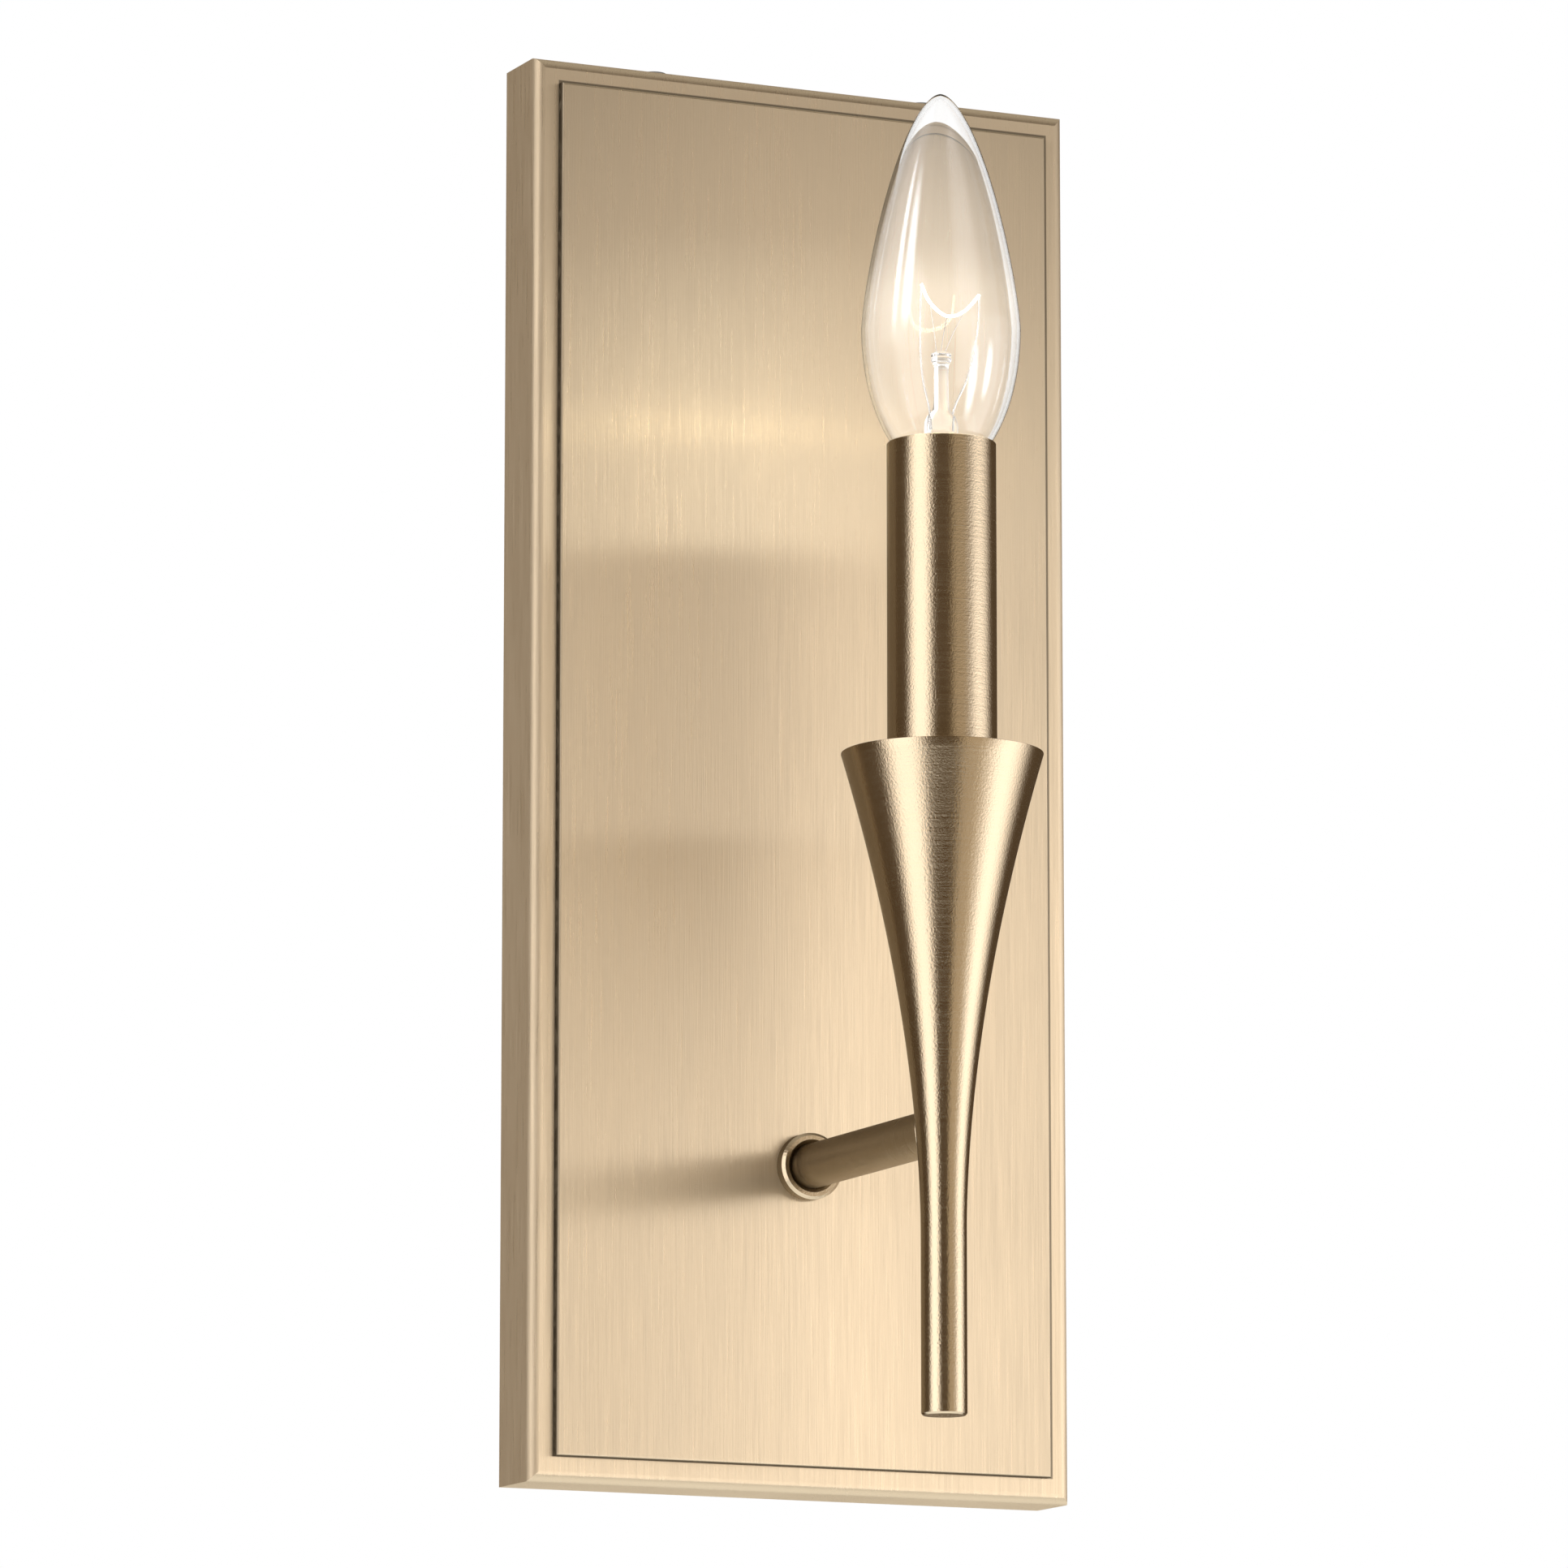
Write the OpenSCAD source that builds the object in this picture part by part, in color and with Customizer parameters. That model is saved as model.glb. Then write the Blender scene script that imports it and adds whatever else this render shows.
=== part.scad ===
// Wall sconce with one candle light: a stepped rectangular plate, a level arm and a
// trumpet-shaped candle holder with a metal candle sleeve and a candelabra lamp.
// Millimetres. X runs to the viewer's right, +Y into the wall, +Z up. The wall is the
// plane y = 0 and the origin is the centre of the outlet box behind the plate.

/* [Plate] */
// Width of the back plate
plate_w = 126; // [110:1:150]
// Height of the back plate
plate_h = 305; // [290:1:340]
// Depth of the back plate, from the wall to its front face
plate_t = 16; // [15.5:0.5:22]
// Thickness of the sheet that the plate is pressed from
plate_wall = 1.5; // [1:0.1:1.8]
// Radius of the plate's outer edges
plate_edge = 2.2; // [1.9:0.1:3]
// Width of the border left around the raised panel
border_w = 5.4; // [4:0.1:9]
// Height of the raised panel above the border
panel_t = 1.8; // [1.2:0.1:3]

/* [Arm] */
// Outer diameter of the arm and of the stem under the trumpet
arm_d = 9.5; // [9:0.1:11]
// Distance from the panel's face to the candle's axis
arm_reach = 66; // [55:1:90]
// Height of the arm, measured from the plate's centre
arm_z = -83.6; // [-95:0.1:-80]
// Outer diameter of the collar around the foot of the arm
collar_d = 14.2; // [13:0.1:20]
// Thickness of that collar
collar_t = 3; // [2:0.1:5]

/* [Trumpet and candle] */
// Height of the trumpet's rim, measured from the plate's centre
rim_z = -5.2; // [-8:0.1:0]
// Outer diameter of the trumpet's rim
rim_d = 42.1; // [40:0.1:50]
// Height of the stem's lower end, measured from the plate's centre
stem_z = -142.5; // [-150:0.5:-120]
// Outer diameter of the candle sleeve
sleeve_d = 22.8; // [22.6:0.1:24]
// Height of the sleeve that shows above the rim
sleeve_h = 65.5; // [65.5:0.5:75]

/* [Hidden] */
$fn = 96;

BRONZE = "#c8a878";
STEEL = "#b9bcc0";
BRASS = "#c9a24a";

eps = 0.05;         // how far a cutting tool runs past the face it cuts
gap = 0.05;         // radial clearance of a threaded or seated part, drawn smooth
run_gap = 0.08;     // radial clearance of a part that turns on another

// Plate and panel
front_y = -plate_t;
panel_y = front_y - panel_t;
inner_y = front_y + plate_wall;
panel_w = plate_w - 2 * border_w;
panel_h = plate_h - 2 * border_w;
panel_edge = 0.5;
stud_r = 2;
stud_x = panel_w / 2 - 14;
stud_z = panel_h / 2 - 16;
panel_nut_af = 7;
panel_nut_t = 3.2;
stud_end_y = inner_y + panel_nut_t + 1.4;    // leaves 1.4 of thread past the nut

// Wall strap and the bar that hangs the plate on it
strap_l = 102;
strap_w = 22;
strap_t = 1.5;
slot_r = 2.4;
slot_spacing = 79.4;
slot_l = 14.4;
nipple_r = 5;
nipple_bore = 3.6;
nipple_l = 9;
bar_w = 34;
bar_y = -strap_t - 0.2;      // the bar's face towards the wall
bar_t = 1.5;
hook_t = 1.2;
bar_top = plate_h / 2 - plate_wall - 0.3;
bar_bottom = -plate_h / 2 + plate_wall + hook_t + 0.3;
bar_foot_h = 12;
flange_y = -12.5;
top_flange_w = 84;
bottom_flange_w = 60;
window_r = 12;
pivot_nut_af = 16;
pivot_nut_t = 3.5;
lock_x = 32;
lock_r = 2;
lock_y = -8;
lock_l = 7;
lock_head_r = 3.4;
lock_head_h = 1.2;
lock_key_r = 1.4;            // hexagon socket for the key
lock_key_depth = 0.7;
hook_x = 18;
hook_w = 10;
hook_y = -8.2;
ground_x = -23;
ground_r = 2.4;
ground_head_r = 4.4;
ground_head_t = 2.2;
ground_slot = 1;             // width and depth of the driver slot
ground_tail_y = -0.1;

// Arm
candle_y = panel_y - arm_reach;
arm_r = arm_d / 2;
arm_bore = 2.9;
thread_r = 4;                // threaded end of the arm, and the tube inside the trumpet
washer_r = 7.5;
washer_t = 0.8;
terminal_t = 0.8;
terminal_y = inner_y + washer_t;
terminal_r = 6.7;
tongue_w = 3;
barrel_x = -9;
barrel_y = -12.3;
barrel_l = 6;
barrel_r = 1.6;
arm_nut_af = 13;
arm_nut_t = 4;
arm_end_y = terminal_y + terminal_t + arm_nut_t + 0.6;    // leaves 0.6 of thread past the nut
braze_gap = 0.02;            // the arm's end is cut to the stem with this clearance

// Trumpet: its radius grows from the stem's with a power of the height
flare_z0 = rim_z - 99.3;
flare_power = 1.8;
flare_steps = 36;
shell_t = 1.6;
cavity_z = -60;              // lowest point of the hollow inside the trumpet
thread_z = -72;              // lower end of the tapped neck
wire_bore = 2.9;
seat_z = rim_z - 3.5;
seat_t = 2;
tube_bore = 2.6;
tube_top = 18;
seat_nut_af = 12;
seat_nut_t = 3.5;

// Candle sleeve and socket
sleeve_r = sleeve_d / 2;
sleeve_wall = 0.6;
sleeve_bore = sleeve_r - sleeve_wall;
sleeve_top = rim_z + sleeve_h;
socket_r = sleeve_bore - run_gap;
socket_z0 = 21.5;
socket_z1 = 55;
socket_floor = 36;
socket_bore = 7.2;
socket_cap_z0 = 14.5;
socket_cap_t = 1.2;
hub_r = 6;
rivet_r = 1;
rivet_l = 7.5;               // length of each rivet inside the socket's body
rivet_place = 7.6;           // distance of each rivet from the candle's axis
tail_z = 26;                 // where the tails of the shell and the contact meet the leads

// Lamp
pitch = 2.54;
thread_turns = 5;
base_r = 5.95;
base_depth = 0.55;
base_top = 56.4;
base_collar_r = 6.45;
base_collar_h = 2.1;
base_thread_top = base_top - base_collar_h;
base_bottom = base_thread_top - thread_turns * pitch;
contact_z = 37;
glass_r = 16.65;
glass_z = 84.7;
glass_tip = 135.2;
glass_bow = 1.3;              // powers that bow the flame and blunt its tip
glass_blunt = 0.58;
glass_t = 0.7;
neck_z = 56.6;
glass_lower_l = 31;
press_z = 61;
press_h = 5.6;
button_z = 78.8;
button_r = 2.3;
post_r = 1.5;
// Points that the filament passes: its left end, three supports and its right end
filament = [[-5, -1, 93.6], [-2, 1, 90.4], [2.4, 2, 88.2], [5.6, 0.4, 89.2], [8, -2, 92.4]];

// Leads
lead_r = 0.95;
lead_x = 1.35;
neutral_top_x = 4.2;
splice_z = arm_z + 29;
splice_y = -8.8;
splice_x = 9.4;
ground_splice_x = -21;

// Radius of the trumpet at height z
function flare(z) =
    let (u = max(0, (z - flare_z0) / (rim_z - flare_z0)))
    arm_r + (rim_d / 2 - arm_r) * pow(u, flare_power);

// Heights at which the trumpet's outline is drawn, from z0 to the rim
function flare_heights(z0) = [for (i = [0:flare_steps]) z0 + (rim_z - z0) * i / flare_steps];

// Radius of the lamp's glass at height z: a half ellipse below, a pointed flame above
function glass(z) =
    z < glass_z
        ? glass_r * sqrt(1 - pow((glass_z - z) / glass_lower_l, 2))
        : glass_r * pow(1 - pow((z - glass_z) / (glass_tip - glass_z), glass_bow), glass_blunt);

// Heights along the glass, closer together towards the tip
function glass_heights(tip) = concat(
    [for (i = [0:16]) neck_z + (glass_z - neck_z) * i / 16],
    [for (i = [1:30]) glass_z + (tip - glass_z) * sin(90 * i / 30)]
);

// Half outline of a rolled thread from z0 upwards, as [radius, height] points
function thread_wave(crest, depth, z0, turns) = [
    for (i = [0:turns * 6])
        [crest - depth * (1 + cos(360 * i / 6)) / 2, z0 + pitch * i / 6]
];

// A point on a smooth curve through list p, at parameter t from 0 to len(p) - 1
function spline(p, t) =
    let (
        i = min(floor(t), len(p) - 2),
        f = t - i,
        a = p[max(i - 1, 0)],
        b = p[i],
        c = p[i + 1],
        d = p[min(i + 2, len(p) - 1)]
    )
    0.5 * ((2 * b) + (c - a) * f + (2 * a - 5 * b + 4 * c - d) * f * f
        + (3 * b - a - 3 * c + d) * f * f * f);

function unit(v) = v / norm(v);

// Tube of radius r along a smooth curve through route p, which never runs along beside
module cable(p, r, beside = [1, 0, 0], sides = 8, rings = 3) {
    count = (len(p) - 1) * rings;
    line = [for (i = [0:count]) spline(p, i / rings)];
    heading = [for (i = [0:count]) unit(line[min(i + 1, count)] - line[max(i - 1, 0)])];
    across = [for (h = heading) unit(beside - h * (h * beside))];
    points = [
        for (i = [0:count], k = [0:sides - 1])
            line[i] + r * (cos(360 * k / sides) * across[i]
                + sin(360 * k / sides) * cross(heading[i], across[i]))
    ];
    walls = [
        for (i = [0:count - 1], k = [0:sides - 1])
            let (n = (k + 1) % sides, a = i * sides, b = a + sides)
            [a + n, a + k, b + k, b + n]
    ];
    ends = [
        [for (k = [0:sides - 1]) k],
        [for (k = [sides - 1:-1:0]) count * sides + k]
    ];
    polyhedron(points, concat(walls, ends));
}

// Cylinder along Y from y0 to y1 at (x, z)
module rod_y(r, y0, y1, x = 0, z = 0) {
    translate([x, y0, z]) rotate([-90, 0, 0]) cylinder(r = r, h = y1 - y0);
}

// Hexagonal nut along Z with its across-flats size
module nut(af, h, bore) {
    difference() {
        cylinder(d = af / cos(30), h = h, $fn = 6);
        translate([0, 0, -eps]) cylinder(r = bore, h = h + 2 * eps);
    }
}

// Nut along Y from y0 towards +Y at (x, z)
module nut_y(af, h, bore, y0, x = 0, z = 0) {
    translate([x, y0, z]) rotate([-90, 0, 0]) nut(af, h, bore);
}

// Outline of a slab w wide that reaches from y0 to y1, with its two front corners rounded by r
module soft_outline(w, y0, y1, r) {
    translate([-w / 2 + r, y0]) square([w - 2 * r, y1 - y0]);
    translate([-w / 2, y0 + r]) square([w, y1 - y0 - r]);
    for (sx = [-1, 1])
        translate([sx * (w / 2 - r), y0 + r]) circle(r = r);
}

// Slab w wide and h high from y0 back to y1: its rounded front edges meet in mitres
module soft_slab(w, h, y0, y1, r) {
    intersection() {
        translate([0, 0, -h / 2]) linear_extrude(h) soft_outline(w, y0, y1, r);
        translate([w / 2, 0, 0]) rotate([0, -90, 0]) linear_extrude(w) soft_outline(h, y0, y1, r);
    }
}

// Puts children on the candle's vertical axis
module on_candle() {
    translate([0, candle_y, 0]) children();
}

// Solid that cuts the arm's end to the outside of the stem and the trumpet
module flare_solid() {
    rotate_extrude()
        polygon(concat(
            [[0, stem_z]],
            [for (z = flare_heights(stem_z)) [flare(z) + braze_gap, z]],
            [[0, rim_z]]
        ));
}

// ---- Wall strap ----

module box_strap() {
    color(STEEL) difference() {
        translate([-strap_l / 2, -strap_t, -strap_w / 2]) cube([strap_l, strap_t, strap_w]);
        for (sx = [-1, 1], end = [-1, 1]) {
            x = sx * slot_spacing / 2 + end * (slot_l / 2 - slot_r);
            rod_y(slot_r, -strap_t - eps, eps, x);
        }
        for (sx = [-1, 1])
            translate([sx * slot_spacing / 2 - (slot_l / 2 - slot_r), -strap_t - eps, -slot_r])
                cube([slot_l - 2 * slot_r, strap_t + 2 * eps, 2 * slot_r]);
        rod_y(nipple_r + gap, -strap_t - eps, eps);
        rod_y(ground_r + gap, -strap_t - eps, eps, ground_x, 0);
    }
}

module pivot_nipple() {
    color(STEEL) difference() {
        rod_y(nipple_r, -nipple_l, 0);
        rod_y(nipple_bore, -nipple_l - eps, eps);
    }
}

module pivot_nut() {
    color(STEEL) nut_y(pivot_nut_af, pivot_nut_t, nipple_r + gap, bar_y - bar_t - pivot_nut_t - 0.1);
}

module ground_screw() {
    color("green") {
        rod_y(ground_r, -strap_t, ground_tail_y, ground_x, 0);
        difference() {
            translate([ground_x, -strap_t - ground_head_t, 0]) rotate([-90, 0, 0])
                cylinder(r = ground_head_r, h = ground_head_t, $fn = 6);
            translate([ground_x - ground_head_r, -strap_t - ground_head_t - eps, -ground_slot / 2])
                cube([2 * ground_head_r, ground_slot + eps, ground_slot]);
        }
    }
}

// ---- Plate ----

module hanger_bar() {
    web_y = bar_y - bar_t;
    flange_l = bar_y - flange_y;
    color(STEEL) difference() {
        union() {
            translate([-bar_w / 2, web_y, bar_bottom]) cube([bar_w, bar_t, bar_top - bar_bottom]);
            translate([-top_flange_w / 2, web_y, bar_top - bar_foot_h])
                cube([top_flange_w, bar_t, bar_foot_h]);
            translate([-top_flange_w / 2, flange_y, bar_top - bar_t]) cube([top_flange_w, flange_l, bar_t]);
            translate([-bottom_flange_w / 2, web_y, bar_bottom]) cube([bottom_flange_w, bar_t, bar_foot_h]);
            translate([-bottom_flange_w / 2, flange_y, bar_bottom]) cube([bottom_flange_w, flange_l, bar_t]);
        }
        rod_y(nipple_r + run_gap, web_y - eps, bar_y + eps);
        for (z = [arm_z, 60, 105])
            rod_y(window_r, web_y - eps, bar_y + eps, 0, z);
        for (sx = [-1, 1]) {
            translate([sx * lock_x, lock_y, bar_top - bar_t - eps])
                cylinder(r = lock_r + gap, h = bar_t + 2 * eps);
            translate([sx * hook_x - hook_w / 2 - 0.5, hook_y - 0.5, bar_bottom - eps])
                cube([hook_w + 1, hook_t + 1, bar_t + 2 * eps]);
        }
    }
}

module lock_screws() {
    top = plate_h / 2;
    color(STEEL) for (sx = [-1, 1])
        translate([sx * lock_x, lock_y, 0]) difference() {
            union() {
                translate([0, 0, top - lock_l]) cylinder(r = lock_r, h = lock_l);
                translate([0, 0, top]) cylinder(r1 = lock_head_r, r2 = lock_head_r - 0.6, h = lock_head_h);
            }
            translate([0, 0, top + lock_head_h - lock_key_depth])
                cylinder(r = lock_key_r, h = lock_key_depth + eps, $fn = 6);
        }
}

module back_plate() {
    color(BRONZE) difference() {
        soft_slab(plate_w, plate_h, front_y, 0, plate_edge);
        translate([-plate_w / 2 + plate_wall, inner_y, -plate_h / 2 + plate_wall])
            cube([plate_w - 2 * plate_wall, plate_t, plate_h - 2 * plate_wall]);
        rod_y(thread_r + gap, front_y - eps, inner_y + eps, 0, arm_z);
        for (sx = [-1, 1], sz = [-1, 1])
            rod_y(stud_r + 0.2, front_y - eps, inner_y + eps, sx * stud_x, sz * stud_z);
        for (sx = [-1, 1])
            translate([sx * lock_x, lock_y, plate_h / 2 - plate_wall - eps])
                cylinder(r = lock_r + 0.2, h = plate_wall + 2 * eps);
    }
}

// Angle brackets welded inside the plate's lower edge, which hook up into the hanger bar
module plate_hooks() {
    z0 = -plate_h / 2 + plate_wall;
    color(STEEL) for (sx = [-1, 1]) {
        translate([sx * hook_x - hook_w / 2, hook_y - 4, z0]) cube([hook_w, 4 + hook_t, hook_t]);
        translate([sx * hook_x - hook_w / 2, hook_y, z0]) cube([hook_w, hook_t, 5]);
    }
}

module face_panel() {
    color(BRONZE) difference() {
        soft_slab(panel_w, panel_h, panel_y, front_y, panel_edge);
        rod_y(thread_r + gap, panel_y - eps, front_y + eps, 0, arm_z);
    }
}

// Studs welded to the back of the panel, which pass through the plate
module panel_studs() {
    color(STEEL) for (sx = [-1, 1], sz = [-1, 1])
        rod_y(stud_r, front_y, stud_end_y, sx * stud_x, sz * stud_z);
}

module panel_nuts() {
    color(STEEL) for (sx = [-1, 1], sz = [-1, 1])
        nut_y(panel_nut_af, panel_nut_t, stud_r + gap, inner_y, sx * stud_x, sz * stud_z);
}

// ---- Arm ----

module arm_collar() {
    chamfer = 0.6;
    recess = 0.9;
    r = collar_d / 2;
    color(BRONZE) translate([0, panel_y, arm_z]) rotate([90, 0, 0]) rotate_extrude()
        polygon([
            [arm_r + gap, 0],
            [r, 0],
            [r, collar_t - chamfer],
            [r - chamfer, collar_t],
            [arm_r + recess, collar_t],
            [arm_r + gap, collar_t - recess]
        ]);
}

module arm_tube() {
    color(BRONZE) difference() {
        union() {
            rod_y(arm_r, candle_y, panel_y, 0, arm_z);
            rod_y(thread_r, panel_y - eps, arm_end_y, 0, arm_z);
        }
        rod_y(arm_bore, candle_y - eps, arm_end_y + eps, 0, arm_z);
        on_candle() flare_solid();
    }
}

module arm_washer() {
    color(STEEL) difference() {
        rod_y(washer_r, inner_y, inner_y + washer_t, 0, arm_z);
        rod_y(thread_r + gap, inner_y - eps, inner_y + washer_t + eps, 0, arm_z);
    }
}

module arm_nut() {
    color(STEEL) nut_y(arm_nut_af, arm_nut_t, thread_r + gap, terminal_y + terminal_t, 0, arm_z);
}

// Ring terminal held by the arm's nut, with the barrel that grips the ground lead
module ground_terminal() {
    color(STEEL) difference() {
        union() {
            rod_y(terminal_r, terminal_y, terminal_y + terminal_t, 0, arm_z);
            translate([barrel_x, terminal_y, arm_z - tongue_w / 2])
                cube([-barrel_x - terminal_r + 2, terminal_t, tongue_w]);
            translate([barrel_x - barrel_l, barrel_y, arm_z]) rotate([0, 90, 0])
                cylinder(r = barrel_r, h = barrel_l);
        }
        rod_y(thread_r + gap, terminal_y - eps, terminal_y + terminal_t + eps, 0, arm_z);
        translate([barrel_x - barrel_l - eps, barrel_y, arm_z]) rotate([0, 90, 0])
            cylinder(r = lead_r + gap, h = barrel_l - 1);
    }
}

// ---- Trumpet ----

module trumpet_shell() {
    color(BRONZE) difference() {
        on_candle() rotate_extrude() polygon(concat(
            [[0, stem_z], [arm_r - 0.4, stem_z], [arm_r, stem_z + 0.4]],
            [for (z = flare_heights(flare_z0)) [flare(z), z]],
            [for (i = [flare_steps:-1:0])
                let (z = cavity_z + (rim_z - cavity_z) * i / flare_steps)
                [flare(z) - shell_t, z]],
            [[0, cavity_z]]
        ));
        on_candle() {
            translate([0, 0, thread_z]) cylinder(r = thread_r + gap, h = cavity_z - thread_z + eps);
            translate([0, 0, arm_z - wire_bore]) cylinder(r = wire_bore, h = thread_z - arm_z + wire_bore + eps);
        }
        rod_y(wire_bore, candle_y, candle_y + rim_d / 2, 0, arm_z);
    }
}

module center_tube() {
    color(STEEL) on_candle() difference() {
        translate([0, 0, thread_z + 0.2]) cylinder(r = thread_r, h = tube_top - thread_z - 0.2);
        translate([0, 0, thread_z]) cylinder(r = tube_bore, h = tube_top - thread_z + eps);
    }
}

module seat_disc() {
    z0 = seat_z - seat_t;
    color(BRONZE) on_candle() difference() {
        translate([0, 0, z0])
            cylinder(r1 = flare(z0) - shell_t - gap, r2 = flare(seat_z) - shell_t - gap, h = seat_t);
        translate([0, 0, z0 - eps]) cylinder(r = thread_r + gap, h = seat_t + 2 * eps);
    }
}

module seat_nut() {
    color(STEEL) on_candle() translate([0, 0, seat_z]) nut(seat_nut_af, seat_nut_t, thread_r + gap);
}

// ---- Socket ----

module socket_cap() {
    color(STEEL) on_candle() difference() {
        union() {
            translate([0, 0, socket_z0 - socket_cap_t]) cylinder(r = socket_r, h = socket_cap_t);
            translate([0, 0, socket_cap_z0]) cylinder(r = hub_r, h = socket_z0 - socket_cap_z0 - socket_cap_t);
        }
        translate([0, 0, socket_cap_z0 - eps])
            cylinder(r = thread_r + gap, h = socket_z0 - socket_cap_z0 + 2 * eps);
        for (sy = [-1, 1])
            translate([0, sy * rivet_place, socket_z0 - socket_cap_t - eps])
                cylinder(r = rivet_r + gap, h = socket_cap_t + 2 * eps);
    }
}

module socket_body() {
    chamber_r = 5.2;
    chamber_h = 10;
    tail_bore = 1.1;
    slot_x = 4;
    slot_w = 2.5;
    color("#2b2724") on_candle() difference() {
        translate([0, 0, socket_z0]) cylinder(r = socket_r, h = socket_z1 - socket_z0);
        translate([0, 0, socket_floor]) cylinder(r = socket_bore, h = socket_z1 - socket_floor + eps);
        // Wiring chamber under the floor, open towards the cap
        translate([0, 0, socket_z0 - eps]) cylinder(r = chamber_r, h = chamber_h);
        for (sy = [-1, 1])
            translate([0, sy * rivet_place, socket_z0 - eps]) cylinder(r = rivet_r + gap, h = rivet_l + 0.5);
        // Passages for the contact's and the shell's tails
        translate([0, 0, tail_z]) cylinder(r = tail_bore, h = socket_floor - tail_z + eps);
        translate([slot_x, -slot_w / 2, tail_z - 0.1])
            cube([socket_bore - slot_x - 0.1, slot_w, socket_floor - tail_z + 1]);
    }
}

module socket_shell() {
    inner = base_r + 0.25;
    outer = inner + 0.35;
    z0 = socket_floor + 3;
    wave = thread_wave(inner + base_depth, base_depth, z0, thread_turns);
    color(BRASS) on_candle() {
        rotate_extrude() polygon(concat(
            wave,
            [[inner + 0.5, socket_z1 - 0.2], [inner + 0.85, socket_z1 - 0.2]],
            [for (i = [len(wave) - 1:-1:0]) [wave[i][0] + outer - inner, wave[i][1]]]
        ));
        // Tail that runs down to the neutral lead, with its foot turned in over the lead's end
        translate([inner + 0.05, -1.2, tail_z]) cube([0.45, 2.4, z0 + 0.2 - tail_z]);
        translate([neutral_top_x - 1, -1.2, tail_z]) cube([inner + 1.1 - neutral_top_x, 2.4, 0.5]);
    }
}

module socket_contact() {
    top = contact_z - 0.1;
    color(BRASS) on_candle() {
        translate([0, 0, tail_z]) cylinder(r = 1, h = socket_floor - tail_z + eps);
        translate([-3, -1.5, socket_floor]) cube([6, 3, top - socket_floor]);
    }
}

module socket_rivets() {
    z = socket_z0 - socket_cap_t;
    head_r = 1.7;
    head_h = 0.8;
    color(STEEL) on_candle() for (sy = [-1, 1]) {
        translate([0, sy * rivet_place, z]) cylinder(r = rivet_r, h = socket_cap_t + rivet_l);
        translate([0, sy * rivet_place, z - head_h]) cylinder(r1 = head_r - 0.4, r2 = head_r, h = head_h);
    }
}

// ---- Leads: out of the socket, down the tube, along the arm and up behind the plate ----

// Points that the live and the neutral lead share but for x, between their two ends
function lead_route(x, start, end) = concat(
    start,
    [
        [x, candle_y, 16], [x, candle_y, 0], [x, candle_y, -30], [x, candle_y, -60],
        [x, candle_y, -76], [x, candle_y + 1, arm_z + 1.6], [x, candle_y + 4, arm_z],
        [x, candle_y + 12, arm_z], [x, candle_y + 30, arm_z], [x, candle_y + 50, arm_z],
        [x, -14, arm_z], [x, -8.5, arm_z], [x, -6, arm_z + 2.5], [x, -5.8, arm_z + 6]
    ],
    end
);

module live_lead() {
    color("black") cable(lead_route(
        -lead_x,
        [[-lead_x + 0.4, candle_y, tail_z], [-lead_x, candle_y, 22]],
        [[-3.4, -7, arm_z + 14], [-7.4, splice_y, arm_z + 22], [-splice_x, splice_y, splice_z + 1]]
    ), lead_r);
}

module neutral_lead() {
    color("white") cable(lead_route(
        lead_x,
        [[neutral_top_x, candle_y, tail_z], [3.2, candle_y, 23], [1.6, candle_y, 19]],
        [[3.4, -7, arm_z + 14], [7.4, splice_y, arm_z + 22], [splice_x, splice_y, splice_z + 1]]
    ), lead_r);
}

module ground_lead() {
    color("darkgreen") cable([
        [-10.5, barrel_y, arm_z], [-15, barrel_y, arm_z], [-18.5, -12, arm_z + 1.5],
        [-21, -10.6, arm_z + 7], [-21.4, -9.4, arm_z + 15], [-21, splice_y, arm_z + 23],
        [ground_splice_x, splice_y, splice_z + 1]
    ], lead_r, beside = [0, 1, 0]);
}

// Twist-on connector: a ribbed cone standing on z = 0, open below for the lead
module wire_nut() {
    skirt_r = 4.4;
    skirt_h = 7;
    top_r = 3;
    cone_h = 11;
    rib_w = 1;
    difference() {
        union() {
            cylinder(r = skirt_r, h = skirt_h);
            translate([0, 0, skirt_h]) cylinder(r1 = skirt_r, r2 = top_r, h = cone_h);
            for (a = [0:45:315])
                rotate([0, 0, a]) translate([skirt_r - 0.8, -rib_w / 2, 0.5]) cube([1.1, rib_w, skirt_h]);
        }
        translate([0, 0, -eps]) cylinder(r = 2.6, h = skirt_h + 1);
    }
}

module wire_nuts() {
    color("orange") for (x = [ground_splice_x, -splice_x, splice_x])
        translate([x, splice_y, splice_z]) wire_nut();
}

// ---- Candle sleeve ----

module candle_sleeve() {
    top_chamfer = 0.2;
    color(BRONZE) on_candle() rotate_extrude() polygon([
        [sleeve_bore, seat_z + 0.05],
        [sleeve_r, seat_z + 0.05],
        [sleeve_r, sleeve_top - top_chamfer],
        [sleeve_r - top_chamfer, sleeve_top],
        [sleeve_bore + top_chamfer, sleeve_top],
        [sleeve_bore, sleeve_top - top_chamfer]
    ]);
}

// ---- Lamp ----

module lamp_glass() {
    inner_tip = glass_tip - 2;
    color([0.9, 0.93, 0.95, 0.4]) on_candle() rotate_extrude() polygon(concat(
        [for (z = glass_heights(glass_tip)) [z == glass_tip ? 0 : glass(z), z]],
        [[0, inner_tip]],
        [for (z = [for (i = [46:-1:0]) glass_heights(inner_tip)[i]])
            if (glass(z) > glass_t + 0.2) [glass(z) - glass_t, z]]
    ));
}

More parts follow.
